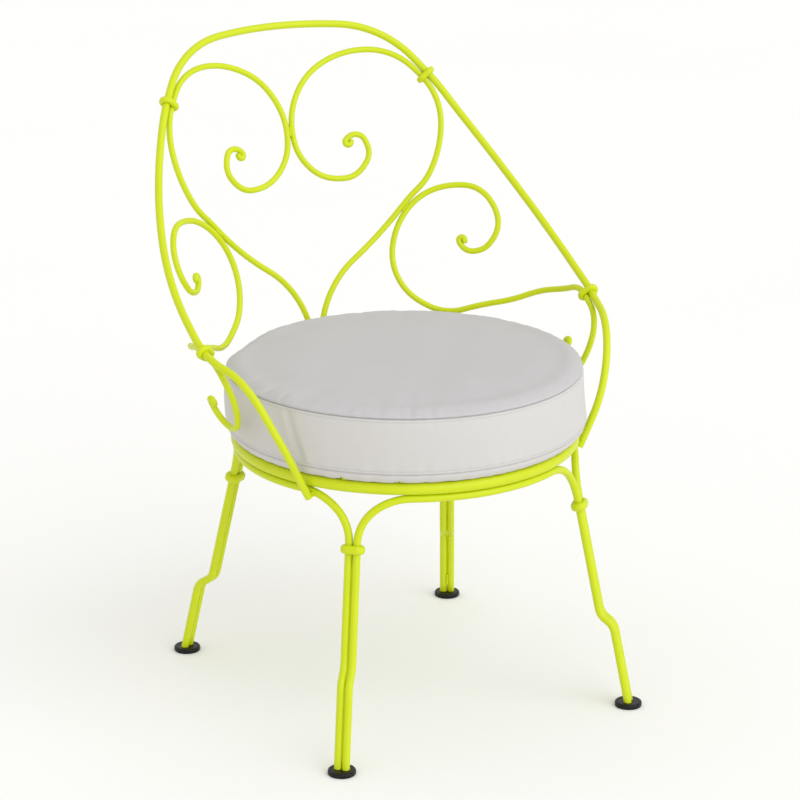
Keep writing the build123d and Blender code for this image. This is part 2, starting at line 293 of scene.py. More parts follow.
@dataclass(frozen=True)
class MouldedPlastic:
    """Black satin plastic of the glides, finely grained."""

    name: str = "black_glide_plastic"
    black: Colour = (0.004, 0.004, 0.0045)
    scuffed: Colour = (0.010, 0.010, 0.011)
    grain_size: float = 0.0009
    grain_depth: float = 0.00005
    scuff_size: float = 0.012
    roughness: float = 0.42
    roughness_swing: float = 0.2
    specular: float = 0.25

    def material(self) -> Material:
        """The plastic as a material."""
        paint = Paint(self.name)
        place = paint.place()
        grain = paint.noise(place, self.grain_size)
        scuff = paint.noise(place, self.scuff_size, detail=4.0)
        return paint.finish(
            Base_Color=paint.blend(scuff, self.black, self.scuffed),
            Roughness=(scuff - 0.5) * self.roughness_swing + self.roughness,
            Normal=paint.bump(grain, self.grain_depth),
            Specular_IOR_Level=self.specular,
        )


@dataclass(frozen=True)
class CushionCloth:
    """Matt outdoor canvas: a plain weave with slightly uneven threads, and shadow painted along its seams."""

    name: str
    lay: ClothLay
    pale: Colour
    shade: Colour
    axis: tuple[float, float] = (0.0, 0.0)
    # Painted shadow: the cloth's colour along the seams, where the grooves' shade falls.
    painted_seam_shadow: Colour = (0.40, 0.385, 0.39)
    radius: float = 0.235
    thread_pitch: float = 0.0011
    thread_depth: float = 0.00012
    cloud_size: float = 0.10
    slub_size: float = 0.009
    tone_shares: tuple[float, float, float] = (0.60, 0.22, 0.18)
    relief_share: float = 0.75
    roughness: float = 0.88
    roughness_swing: float = 0.1
    sheen: float = 0.08

    def threads(self, paint: Paint) -> tuple[Reading, Reading]:
        """Places across and along the threads of the panel, in metres.

        Args:
            paint: the tree that the nodes go into.

        Returns:
            The two readings, along the weft and along the warp.
        """
        x, y, z = paint.split(paint.place())
        if self.lay is ClothLay.FLAT:
            return x, y
        round_angle = (x - self.axis[0]).through("ARCTAN2", (y - self.axis[1]) * -1.0)
        return round_angle * self.radius, z

    def material(self) -> Material:
        """The cloth as a material."""
        paint = Paint(self.name)
        place = paint.place()
        across, along = self.threads(paint)
        turn = 2.0 * math.pi * self.radius
        pitch = turn / round(turn / self.thread_pitch)
        weft = (across * (math.pi / pitch)).through("SINE")
        warp = (along * (math.pi / pitch)).through("SINE")
        weave = weft * warp * 0.5 + 0.5
        cloud = paint.noise(place, self.cloud_size)
        slub = paint.noise(place, self.slub_size, detail=3.0)
        by_cloud, by_slub, by_weave = self.tone_shares
        tone = cloud * by_cloud + slub * by_slub + (1.0 - weave) * by_weave
        # Painted shadow: the seam attribute darkens the cloth towards the shadow colour along both seams.
        seam = paint.node("ShaderNodeAttribute", attribute_name=SEAM_SHADOW).outputs["Fac"]
        return paint.finish(
            Base_Color=paint.blend(seam, paint.blend(tone, self.pale, self.shade), self.painted_seam_shadow),
            Roughness=(slub - 0.5) * self.roughness_swing + self.roughness,
            Normal=paint.bump(weave.mixed(slub, self.relief_share), self.thread_depth),
            Sheen_Weight=self.sheen,
        )


@dataclass(frozen=True)
class SewingThread:
    """Grey twisted thread of the cushion's seams."""

    name: str = "grey_thread"
    light: Colour = (0.55, 0.535, 0.53)
    dark: Colour = (0.42, 0.41, 0.405)
    twist_size: float = 0.0006
    twist_depth: float = 0.00008
    roughness: float = 0.6
    roughness_swing: float = 0.2

    def material(self) -> Material:
        """The thread as a material."""
        paint = Paint(self.name)
        fibre = paint.noise(paint.place(), self.twist_size)
        return paint.finish(
            Base_Color=paint.blend(fibre, self.light, self.dark),
            Roughness=fibre * self.roughness_swing + self.roughness,
            Normal=paint.bump(fibre, self.twist_depth),
        )


@dataclass(frozen=True)
class StudioFloor:
    """Plain pale floor of the studio."""

    name: str = "pale_floor"
    pale: Colour = (0.95, 0.95, 0.95)
    worn: Colour = (0.93, 0.93, 0.93)
    cloud_size: float = 0.8
    roughness: float = 0.9

    def material(self) -> Material:
        """The floor as a material."""
        paint = Paint(self.name)
        cloud = paint.noise(paint.place(), self.cloud_size, detail=1.0)
        return paint.finish(Base_Color=paint.blend(cloud, self.pale, self.worn), Roughness=self.roughness)


class Repeat(Wiring):
    """Geometry Nodes that turn the edges of a mesh, sampled finely, into a row of repeated shapes."""

    samples: float = 0.25

    def __init__(self, name: str, sizes: dict[str, float], seed: int = 0) -> None:
        """Start a tree with a geometry input, named sizes, a seed and a material.

        Args:
            name: the tree's name.
            sizes: names and values of its number inputs.
            seed: value of its seed input.
        """
        super().__init__(bpy.data.node_groups.new(name, "GeometryNodeTree"))
        self.values: dict[str, Any] = {**sizes, "Seed": seed}
        kinds = {"Geometry": "Geometry", **dict.fromkeys(sizes, "Float")}
        kinds |= {"Seed": "Int", "Material": "Material"}
        sockets = self.tree.interface
        for socket, kind in kinds.items():
            sockets.new_socket(socket, in_out="INPUT", socket_type=f"NodeSocket{kind}")
        sockets.new_socket("Geometry", in_out="OUTPUT", socket_type="NodeSocketGeometry")
        self.given = self.node("NodeGroupInput").outputs

    def size(self, name: str) -> Reading:
        """One of the tree's number inputs."""
        return Reading(self, self.given[name])

    def rows(self, spacing: Any) -> Socket:
        """The edges as curves with evenly spaced points."""
        curves = self.node("GeometryNodeMeshToCurve", {0: self.given["Geometry"]}).outputs[0]
        evened = self.node("GeometryNodeResampleCurve", {"Curve": curves, "Length": spacing}, mode="LENGTH")
        return evened.outputs[0]

    def close(self, shapes: Socket) -> None:
        """End the tree with real geometry that carries the material."""
        real = self.node("GeometryNodeRealizeInstances", {"Geometry": shapes}).outputs[0]
        paint = self.given["Material"]
        painted = self.node("GeometryNodeSetMaterial", {"Geometry": real, "Material": paint})
        self.node("NodeGroupOutput", {0: painted.outputs[0]})

    def run(self, name: str, paths: list[Array], closed: bool, material: Material) -> bpy.types.Object:
        """Make the row along some paths and keep it as a plain mesh.

        Args:
            name: the new piece's name.
            paths: points of each path.
            closed: whether each path comes back to its start.
            material: what the shapes are made of.

        Returns:
            The new piece.
        """
        points: list[list[float]] = []
        edges: list[tuple[int, int]] = []
        for path in paths:
            first = len(points)
            points += path.tolist()
            edges += [(first + k, first + k + 1) for k in range(len(path) - 1)]
            if closed:
                edges.append((len(points) - 1, first))
        lines = bpy.data.meshes.new(name)
        lines.from_pydata(points, edges, [])
        piece = new_piece(name, lines, [])
        maker = piece.modifiers.new(name, "NODES")
        maker.node_group = self.tree
        self.values["Material"] = material
        for socket in self.tree.interface.items_tree:
            if socket.in_out == "INPUT" and socket.name in self.values:
                maker[socket.identifier] = self.values[socket.name]
        made = settled(piece)
        piece.modifiers.remove(maker)
        piece.data = made
        made.name = name
        made.materials.clear()
        made.materials.append(material)
        bpy.data.meshes.remove(lines)
        return piece


class StitchRow(Repeat):
    """Row of sewn stitches, each a short rounded length of thread."""

    shortest: float = 0.88
    longest: float = 1.06

    def __init__(self, spacing: float, length: float, thickness: float, seed: int) -> None:
        """Wire the row.

        Args:
            spacing: from one stitch to the next, in metres.
            length: of one stitch.
            thickness: of the thread.
            seed: for the small differences between stitches.
        """
        sizes = {"Spacing": spacing, "Length": length, "Thickness": thickness}
        super().__init__("stitch_row", sizes, seed)
        apart = self.size("Spacing")
        row = self.rows(apart * self.samples)
        spots = self.node("GeometryNodeCurveToPoints", {"Curve": row, "Length": apart}, mode="LENGTH")
        bead = self.node("GeometryNodeMeshUVSphere", {"Segments": 8, "Rings": 5, "Radius": 0.5})
        bounds = {"Min": self.shortest, "Max": self.longest, "Seed": self.given["Seed"]}
        uneven = self.node("FunctionNodeRandomValue", bounds, data_type="FLOAT")
        thick = self.size("Thickness")
        length_now = self.size("Length") * Reading(self, uneven.outputs[1])
        shape = self.node("ShaderNodeCombineXYZ", {0: thick, 1: thick, 2: length_now})
        placed = self.node(
            "GeometryNodeInstanceOnPoints",
            {
                "Points": spots.outputs["Points"],
                "Instance": bead.outputs[0],
                "Rotation": spots.outputs["Rotation"],
                "Scale": shape.outputs[0],
            },
        )
        self.close(placed.outputs[0])


class WeldBead(Repeat):
    """Short weld runs: rods of filler with ripples that taper at both ends."""

    taper_power: float = 4.0
    end_girth: float = 0.25

    def __init__(self, radius: float, ripple_pitch: float, ripple: float) -> None:
        """Wire the runs.

        Args:
            radius: of the bead, in metres.
            ripple_pitch: from one ripple to the next.
            ripple: height of the ripples in shares of the radius.
        """
        super().__init__("weld_bead", {"Radius": radius, "Pitch": ripple_pitch, "Ripple": ripple})
        along = self.node("GeometryNodeSplineParameter").outputs
        share = Reading(self, along["Factor"])
        run = Reading(self, along["Length"])
        wave = (run * (2.0 * math.pi) / self.size("Pitch")).through("SINE")
        fullness = 1.0 - (share * 2.0 - 1.0).through("ABSOLUTE") ** self.taper_power
        taper = fullness * (1.0 - self.end_girth) + self.end_girth
        girth = (wave * self.size("Ripple") + 1.0) * taper
        runs = self.rows(self.size("Pitch") * self.samples)
        swollen = self.node("GeometryNodeSetCurveRadius", {"Curve": runs, "Radius": girth})
        circle = {"Resolution": 8, "Radius": self.size("Radius")}
        profile = self.node("GeometryNodeCurvePrimitiveCircle", circle)
        sweep = {"Curve": swollen.outputs[0], "Profile Curve": profile.outputs[0], "Fill Caps": True}
        tube = self.node("GeometryNodeCurveToMesh", sweep)
        smooth = self.node("GeometryNodeSetShadeSmooth", {"Geometry": tube.outputs[0]})
        self.close(smooth.outputs[0])


def new_piece(name: str, mesh: Mesh, materials: list[Material]) -> bpy.types.Object:
    """Put a mesh in the scene as an object at the origin.

    Args:
        name: the piece's name.
        mesh: its mesh, in place.
        materials: its material slots in order.

    Returns:
        The new object.
    """
    piece = bpy.data.objects.new(name, mesh)
    bpy.context.scene.collection.objects.link(piece)
    for material in materials:
        mesh.materials.append(material)
    return piece


def settled(piece: bpy.types.Object) -> Mesh:
    """Mesh of an object with its modifiers worked in."""
    graph = bpy.context.evaluated_depsgraph_get()
    return bpy.data.meshes.new_from_object(piece.evaluated_get(graph), depsgraph=graph)


def discard(piece: bpy.types.Object) -> None:
    """Remove a piece and its mesh."""
    mesh = piece.data
    bpy.data.objects.remove(piece)
    bpy.data.meshes.remove(mesh)


def read_points(mesh: Mesh, what: str = "co") -> Array:
    """Points of a mesh, or what else is kept at them, as rows of three numbers."""
    flat = np.empty(len(mesh.vertices) * 3)
    mesh.vertices.foreach_get(what, flat)
    return flat.reshape(-1, 3)


def write_points(mesh: Mesh, points: Array) -> None:
    """Move the points of a mesh to new places."""
    mesh.vertices.foreach_set("co", points.ravel())
    mesh.update()


def ring_points(axis: Vector, radius: float, angles: Array, height: float) -> Array:
    """Points at some angles of a level circle round an upright axis."""
    x = axis.x + radius * np.cos(angles)
    y = axis.y + radius * np.sin(angles)
    return np.stack([x, y, np.full(len(angles), height)], axis=-1)


def node_points(node: str) -> Array:
    """Points of a CAD node's mesh in the chair's frame."""
    item = frame["nodes"][node]
    points = read_points(item.data)
    turn = np.array(item.matrix_world)
    return points @ turn[:3, :3].T + turn[:3, 3]


def centre_of(node: str) -> Vector:
    """Middle of a CAD node's box."""
    low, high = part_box(node)
    return (low + high) / 2


def bar_spans() -> Array:
    """Both side edges of every seat bar, a row for a bar, to a hundredth of a millimetre."""
    return np.unique(np.round(node_points("seat_bars")[:, 0], 5)).reshape(-1, 2)


def hill(distance: Array, width: float) -> Array:
    """Smooth hill of height 1 that dies out beyond its width."""
    return np.exp(-((distance / width) ** 2))


def easing(value: Array) -> Array:
    """Smooth step from 0 to 1 for values from 0 to 1."""
    share = np.clip(value, 0.0, 1.0)
    return share * share * (3.0 - 2.0 * share)


def turn_between(angles: Array, middle: float) -> Array:
    """Signed angle in radians from a middle given in degrees."""
    return (angles - math.radians(middle) + math.pi) % (2 * math.pi) - math.pi


@dataclass(frozen=True)
class Mound:
    """A smooth hill or, with a height below zero, a hollow."""

    middle: float
    width: float
    height: float = 1.0

    def over(self, distance: Array) -> Array:
        """The mound at distances that its middle is one of."""
        return self.height * hill(distance - self.middle, self.width)

    def around(self, angles: Array, radius: float = 1.0) -> Array:
        """The mound round an axis, its middle in degrees and its width along a circle."""
        return self.height * hill(turn_between(angles, self.middle) * radius, self.width)


@dataclass
class RodFrame:
    """The welded frame, dressed where its solids stand."""

    coat: PowderCoat = field(default_factory=PowderCoat)
    plastic: MouldedPlastic = field(default_factory=MouldedPlastic)
    plate: MouldedPlastic = field(
        default_factory=lambda: MouldedPlastic("black_plate_coat", roughness=0.34, grain_size=0.0016)
    )

    def build(self) -> Material:
        """Give every node of the frame its finish.

        Returns:
            The rods' coat, for the welds.
        """
        finishes = {Slot.COAT: self.coat, Slot.GLIDE: self.plastic, Slot.PLATE: self.plate}
        materials = {slot.value: finish.material() for slot, finish in finishes.items()}
        for part in frame["record"]["subparts"]:
            slot = part["material_slot"]
            if slot in materials:
                self.dress(part["node"], materials[slot])
        return materials[Slot.COAT.value]

    def dress(self, node: str, material: Material) -> None:
        """Put a material on a node of the frame."""
        mesh = frame["nodes"][node].data
        mesh.materials.clear()
        mesh.materials.append(material)
        LOG.info("%s dressed in %s", node, material.name)


@dataclass
class Welds:
    """Weld runs where the rods, the ring and the bars are joined."""

    coat: Material
    radius: float = 1.5 * MM
    ripple_pitch: float = 2.2 * MM
    ripple: float = 0.16
    leg_heights: tuple[float, ...] = (0.028, 0.116, 0.205)
    leg_length: float = 18 * MM
    leg_room: float = 0.16
    tack_reach: float = 6 * MM
    filler_heights: tuple[float, float] = (0.016, 0.255)
    filler_steps: int = 27
    groove_depth: float = 3.3 * MM
    arch_length: float = 26 * MM
    arch_shares: tuple[float, ...] = (-0.8, 0.0, 0.8)
    arch_inset: float = 4.0 * MM
    arch_drop: float = 0.3 * MM
    crest_depth: float = 1.5 * MM
    heart_touch: tuple[float, float] = (0.55, math.inf)
    scroll_touch: tuple[float, float] = (0.5, math.inf)
    ring_touch: tuple[float, float] = (0.0, 0.37)
    arm_touch: tuple[float, float] = (0.32, 0.345)
    touch_length: float = 13 * MM
    touch_reach: float = 14 * MM
    touch_aside: float = 3.1 * MM
    arm_length: float = 7 * MM
    arm_slope: float = 0.53
    bar_length: float = 8 * MM
    bar_inset: float = 5 * MM
    bar_drop: float = 0.6 * MM
    steps: int = 7

    def __post_init__(self) -> None:
        """Take the ring's sizes from the frame."""
        low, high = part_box("seat_ring")
        tube = high.z - low.z
        self.axis = (low + high) / 2
        self.ring_radius = (high.x - low.x - tube) / 2
        self.ring_floor = low.z
        self.ring_top = high.z

    def build(self) -> None:
        """Make all the weld runs as one piece of the frame."""
        paths = [*self.under_ring(), *self.between_leg_rods(), *self.at_touches(), *self.at_bars()]
        beads = WeldBead(self.radius, self.ripple_pitch, self.ripple)
        piece = beads.run("weld_beads", paths, False, self.coat)
        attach(piece, Body.FRAME.value)
        LOG.info("weld_beads: %d runs", len(paths))

    def straight(self, middle: Array, along: Array, length: float) -> Array:
        """Points of a straight run through its middle."""
        shares = np.linspace(-0.5, 0.5, self.steps)[:, None]
        return middle + shares * length * along / np.linalg.norm(along)

    def under_ring(self) -> list[Array]:
        """Runs on the inner side of the ring, where the leg arches lie under it."""
        paths = []
        half = self.arch_length / 2 / self.ring_radius
        radius = self.ring_radius - self.arch_inset
        for node in ARCHES:
            points = node_points(node)
            crest = points[points[:, 2] > self.ring_floor - self.crest_depth]
            angles = np.arctan2(crest[:, 1] - self.axis.y, crest[:, 0] - self.axis.x)
            middle = math.atan2(np.sin(angles).mean(), np.cos(angles).mean())
            spread = np.abs(turn_between(angles, math.degrees(middle))).max()
            for share in self.arch_shares:
                sweep = middle + share * spread + np.linspace(-half, half, self.steps)
                paths.append(ring_points(self.axis, radius, sweep, self.ring_floor - self.arch_drop))
        return paths

    def between_leg_rods(self) -> list[Array]:
        """Filler between a leg's two rods, with tacks on the side that faces the seat's axis."""
        paths = []
        for leg, *rods in zip(LEGS, ARCHES[-1:] + ARCHES[:-1], ARCHES):
            foot = np.array(centre_of(f"{leg}_glide"))
            for height in self.leg_heights:
                low = [self.rod_middle(rod, foot, height - self.tack_reach) for rod in rods]
                high = [self.rod_middle(rod, foot, height + self.tack_reach) for rod in rods]
                along = (high[0] + high[1] - low[0] - low[1]) / 2
                along /= np.linalg.norm(along)
                middle = (low[0] + low[1] + high[0] + high[1]) / 4
                inward = np.cross(along, high[1] - high[0])
                inward /= np.linalg.norm(inward)
                if inward @ (np.array(self.axis) - middle) < 0:
                    inward = -inward
                paths.append(self.straight(middle + inward * self.groove_depth, along, self.leg_length))
            levels = np.linspace(*self.filler_heights, self.filler_steps)
            filler = [sum(self.rod_middle(rod, foot, level) for rod in rods) / 2 for level in levels]
            paths.append(np.array(filler))
        return paths

    def rod_middle(self, node: str, foot: Array, height: float) -> Array:
        """Middle of a rod's section at a height, in the leg over a foot.

        Args:
            node: the rod's node.
            foot: the foot's middle.
            height: where the rod is cut.

        Returns:
            The middle of the section.
        """
        mesh = frame["nodes"][node].data
        points = node_points(node)
        ends = np.empty(len(mesh.edges) * 2, dtype=np.int32)
        mesh.edges.foreach_get("vertices", ends)
        first, second = points[ends[0::2]], points[ends[1::2]]
        crossing = (first[:, 2] < height) != (second[:, 2] < height)
        first, second = first[crossing], second[crossing]
        share = (height - first[:, 2:]) / (second[:, 2:] - first[:, 2:])
        section = first + (second - first) * share
        near = section[np.linalg.norm(section[:, :2] - foot[:2], axis=1) < self.leg_room]
        return (near.min(axis=0) + near.max(axis=0)) / 2

    def at_touches(self) -> list[Array]:
        """Runs on both sides of the places where scrolls, hoop, ring and arches touch."""
        paths = self.beside_touch("left_heart_scroll", "right_heart_scroll", self.heart_touch)
        for side, way in (("left", 1.0), ("right", -1.0)):
            paths += self.beside_touch(f"{side}_side_scroll", f"{side}_heart_scroll", self.scroll_touch)
            paths += self.beside_touch(f"{side}_heart_scroll", "seat_ring", self.ring_touch)
            arm = np.array([way * self.arm_slope, 0.0, 1.0])
            paths += self.beside_touch("back_hoop", f"{side}_leg_arch", self.arm_touch, arm)
        return paths

    def beside_touch(
        self, first: str, second: str, heights: tuple[float, float], heading: Array | None = None
    ) -> list[Array]:
        """Two runs along a rod where it touches another piece.

        Args:
            first: node of the rod that the runs follow.
            second: node of the other piece.
            heights: between which the rod is searched.
            heading: the rod's direction at a short end, or None to find it from its points.

        Returns:
            The two runs.
        """
        cloud = node_points(first)
        cloud = cloud[(cloud[:, 2] > heights[0]) & (cloud[:, 2] < heights[1])]
        item = frame["nodes"][second]
        corners = [tuple(point) for point in node_points(second)]
        tree = BVHTree.FromPolygons(corners, [tuple(face.vertices) for face in item.data.polygons])
        hits = [tree.find_nearest(Vector(point)) for point in cloud]
        nearest = int(np.argmin([hit[3] for hit in hits]))
        here = cloud[nearest]
        there = np.array(hits[nearest][0])
        middle = (here + there) / 2
        around = cloud[np.linalg.norm(cloud - here, axis=1) < self.touch_reach]
        if heading is None:
            along = np.linalg.svd(around - around.mean(axis=0))[2][0]
            length = self.touch_length
        else:
            along = heading / np.linalg.norm(heading)
            length = self.arm_length
        towards = around.mean(axis=0) - middle
        towards -= along * (towards @ along)
        beside = np.cross(along, towards / np.linalg.norm(towards)) * self.touch_aside
        return [self.straight(middle + beside * way, along, length) for way in (-1, 1)]

    def at_bars(self) -> list[Array]:
        """Short runs under every bar's ends, on the inner side of the ring."""
        paths = []
        for across in bar_spans().mean(axis=1):
            reach = math.sqrt(self.ring_radius**2 - (across - self.axis.x) ** 2) - self.bar_inset
            for way in (-1, 1):
                middle = np.array([across, self.axis.y + way * reach, self.ring_top - self.bar_drop])
                paths.append(self.straight(middle, np.array([1.0, 0.0, 0.0]), self.bar_length))
        return paths


@dataclass(frozen=True)
class CoverForm:
    """How the cover is drawn in, puckered, creased and pressed.

    Places round the cushion are in degrees from +X towards +Y. Waves are given by the fewest and
    the most in a turn and a seed.
    """

    # Painted shadow along the high and the low seam, heights as shares of the darkening.
    shadow_high: Mound = Mound(0.0, 1.1 * MM, 0.8)
    shadow_low: Mound = Mound(0.0, 0.9 * MM, 0.6)
    groove_high: Mound = Mound(0.0, 1.4 * MM, -2.4 * MM)
    groove_low: Mound = Mound(0.0, 1.4 * MM, -1.92 * MM)
    stitch_dip: Mound = Mound(4.5 * MM, 1.3 * MM, -0.5 * MM)
    fine_waves: tuple[int, int, int] = (60, 120, 11)
    fine_share: float = 0.7
    broad_waves: tuple[int, int, int] = (24, 56, 12)
    broad_share: float = 0.25
    low_waves: tuple[int, int, int] = (40, 90, 13)
    calm: float = 0.35
    lively: tuple[Mound, ...] = (Mound(306, 0.28, 1.3), Mound(244, 0.25, 0.5))
    pucker_reach: float = 5 * MM
    pucker_top: float = 1.0 * MM
    pucker_band: float = 0.4 * MM
    crease: float = 208
    crease_lean: float = 7
    folds: tuple[Mound, ...] = (
        Mound(0.0, 5 * MM, -2.5 * MM),
        Mound(-10 * MM, 6 * MM, 1.3 * MM),
        Mound(9 * MM, 5 * MM, 0.7 * MM),
    )
    fold_fade: float = 9 * MM
    dents: tuple[Mound, ...] = (Mound(205, 30 * MM, 0.5), Mound(189, 4 * MM), Mound(197, 4 * MM))
    dent_reach: Mound = Mound(17 * MM, 11 * MM, -1.8 * MM)
    puff: Mound = Mound(16 * MM, 14 * MM, 3.8 * MM)
    lumps: float = 0.45 * MM
    lump_turns: tuple[float, float, float, float] = (41, 36, 67, 52)
    lump_starts: tuple[float, float] = (1.3, -0.7)
    lump_share: float = 0.6
    lump_fade: float = 40 * MM
    edge_start: float = 0.55
    side_swell: float = 2.6 * MM
    slant: Mound = Mound(332, 0.5)
    slant_share: float = 0.9
    slant_foot: Mound = Mound(0.0, 0.4, 3.2 * MM)
    slant_bow: float = 2.0 * MM
    rim_fall: Mound = Mound(131, 0.24, 8.5 * MM)
    rim_reach: float = 45 * MM
    rear_still: Mound = Mound(90, 0.22)
    rear_held: Mound = Mound(90, 0.20)
    rear_room: float = 1.0 * MM
    side_room: float = 50 * MM
    bar_fall: float = 7 * MM
    bar_end: float = 0.5 * MM
    end_fall: float = 3 * MM
    ring_room: float = 0.35 * MM


@dataclass
class BoxCushion:
    """Round box cushion: crowned top, drawn-in band and flat bottom, sewn at two seams."""

    form: CoverForm = field(default_factory=CoverForm)
    quarter_cells: int = 60
    grid_share: float = 0.62
    floor_rows: int = 12
    round_rows: int = 8
    band_rows: int = 12
    band_margin: float = 14 * MM
    top_rows: int = 16
    top_margin: float = 11 * MM
    rows_on_seam: tuple[float, ...] = (0.15 * MM, 0.6 * MM)
    rows_by_seam: tuple[float, ...] = (1.0 * MM, 2.2 * MM, 3.6 * MM, 5.5 * MM, 8.0 * MM)
    crown_power: float = 4.0
    band_bulge: float = 2.5 * MM
    swell_cap: float = 5.0 * MM
    swell_share: float = 0.5
    frames: int = 20
    pressure: float = 4.0
    slack: float = 0.002
    ruck: float = 0.15 * MM
    hold: float = 0.4 * MM
    hold_room: float = 1.0 * MM
    seed: int = 7
    stitch_spacing: float = 3.8 * MM
    stitch_length: float = 3.0 * MM
    stitch_lift: float = 0.1 * MM
    row_room: float = 1.5 * MM
    thread_width: float = 0.6 * MM
    same: float = 0.05 * MM
    # The top's cloth is a darker copy of the band's: painted shade on the top.
    top_pale_painted_shade: Colour = (0.547, 0.533, 0.546)
    top_dark_painted_shade: Colour = (0.503, 0.490, 0.502)
    band_pale: Colour = (0.621, 0.602, 0.583)
    band_shade: Colour = (0.573, 0.556, 0.539)

    def __post_init__(self) -> None:
        """Take the cushion's sizes from the frame."""
        low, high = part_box("cover_band")
        top_low, top_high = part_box("cover_top")
        self.axis = (low + high) / 2
        self.low_seam = low.z
        self.high_seam = high.z
        self.seam_radius = (top_high.x - top_low.x) / 2
        self.crown = top_high.z - self.high_seam
        self.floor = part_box("cover_bottom")[0].z
        self.base_round = self.low_seam - self.floor
        self.segments = 4 * self.quarter_cells
        self.grid_radius = self.grid_share * self.seam_radius
        self.ring_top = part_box("seat_ring")[1].z
        self.rear_limit = high.y - self.axis.y + self.form.rear_room

    def build(self) -> None:
        """Cut, stuff and sew the cushion."""
        mesh = self.base_mesh()
        flat = self.refined(mesh)
        write_points(mesh, self.stuffed(mesh))
        full = self.refined(mesh)
        self.shape(full, read_points(flat))
        full.name = "cushion_cover"
        cover = new_piece("cushion_cover", full, self.cloths())
        self.sort_panels(full, flat)
        full.shade_smooth()
        rows = self.stitch_rows(full, read_points(flat))
        bpy.data.meshes.remove(flat)
        bpy.data.meshes.remove(mesh)
        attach(cover, Body.CUSHION.value)
        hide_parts("cushion_foam", "cover_top", "cover_band", "cover_bottom")
        thread = SewingThread().material()
        stitches = StitchRow(self.stitch_spacing, self.stitch_length, self.thread_width, self.seed)
        seams = stitches.run("cushion_stitches", rows, True, thread)
        seams.data.shade_smooth()
        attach(seams, Body.CUSHION.value)
        LOG.info("cushion_cover: %d faces", len(full.polygons))
        LOG.info("cushion_stitches: %d faces", len(seams.data.polygons))

    def cloths(self) -> list[Material]:
        """Materials of the bottom, the band and the top; the top's is a darker copy of the cloth, painted
        shade.
        """
        band = (self.band_pale, self.band_shade)
        # The top gets the darker copy of the cloth: painted shade.
        top = (self.top_pale_painted_shade, self.top_dark_painted_shade)
        sizes = {"axis": (self.axis.x, self.axis.y), "radius": self.seam_radius}
        cloths = (
            CushionCloth("cushion_base_cloth", ClothLay.FLAT, *band, **sizes),
            CushionCloth("cushion_band_cloth", ClothLay.ROUND, *band, **sizes),
            CushionCloth("cushion_top_cloth_painted_shade", ClothLay.FLAT, *top, **sizes),
        )
        return [cloth.material() for cloth in cloths]

    def crown_height(self, radius: Array) -> Array:
        """Height of the crowned top at a distance from the axis."""
        share = np.clip(radius / self.seam_radius, 0.0, 1.0)
        return self.high_seam + self.crown * np.sqrt(1.0 - share**self.crown_power)

    def section(self) -> list[tuple[float, float]]:
        """Half section of the cover between its two middle grids, from the bottom up."""
        close = np.array(self.rows_by_seam)
        floor_edge = self.seam_radius - self.base_round
        rows = [(radius, self.floor) for radius in np.linspace(self.grid_radius, floor_edge, self.floor_rows)]
        for angle in np.radians(np.linspace(0, 90, self.round_rows + 1)[1:]):
            rise = self.base_round * math.cos(angle)
            rows.append((floor_edge + self.base_round * math.sin(angle), self.low_seam - rise))
        band = self.high_seam - self.low_seam
        middle = np.linspace(self.band_margin, band - self.band_margin, self.band_rows)
        for height in np.concatenate([close, middle, band - close[::-1], [band]]):
            lean = 2.0 * height / band - 1.0
            rows.append((self.seam_radius + self.band_bulge * (1.0 - lean**2), self.low_seam + height))
        span = np.linspace(self.top_margin, self.seam_radius - self.grid_radius, self.top_rows)
        for step in np.concatenate([self.rows_on_seam, close, span]):
            radius = self.seam_radius - step
            rows.append((radius, float(self.crown_height(np.array(radius)))))
        return rows

    def disc(self, level: float | None) -> Array:
        """Points of a round grid, square cells pushed out to a circle.

        Args:
            level: height of a flat grid, or None for the crowned top.

        Returns:
            The points, row after row.
        """
        steps = np.linspace(-1.0, 1.0, self.quarter_cells + 1)
        a, b = np.meshgrid(steps, steps, indexing="ij")
        wide = np.abs(a) >= np.abs(b)
        reach = np.where(wide, np.abs(a), np.abs(b))
        tilt = np.where(wide, np.abs(b), np.abs(a)) / np.maximum(reach, 1e-12) * math.pi / 4
        x = np.sign(a) * reach * np.where(wide, np.cos(tilt), np.sin(tilt)) * self.grid_radius
        y = np.sign(b) * reach * np.where(wide, np.sin(tilt), np.cos(tilt)) * self.grid_radius
        z = self.crown_height(np.hypot(x, y)) if level is None else np.full_like(x, level)
        return np.stack([x + self.axis.x, y + self.axis.y, z], axis=-1).reshape(-1, 3)

    def rim(self) -> list[int]:
        """Points round a grid's edge, counted from +X towards +Y."""
        last = self.quarter_cells
        half = last // 2
        size = last + 1
        cells = [(last, j) for j in range(half, last)]
        cells += [(i, last) for i in range(last, 0, -1)]
        cells += [(0, j) for j in range(last, 0, -1)]
        cells += [(i, 0) for i in range(0, last)]
        cells += [(last, j) for j in range(0, half)]
        return [i * size + j for i, j in cells]

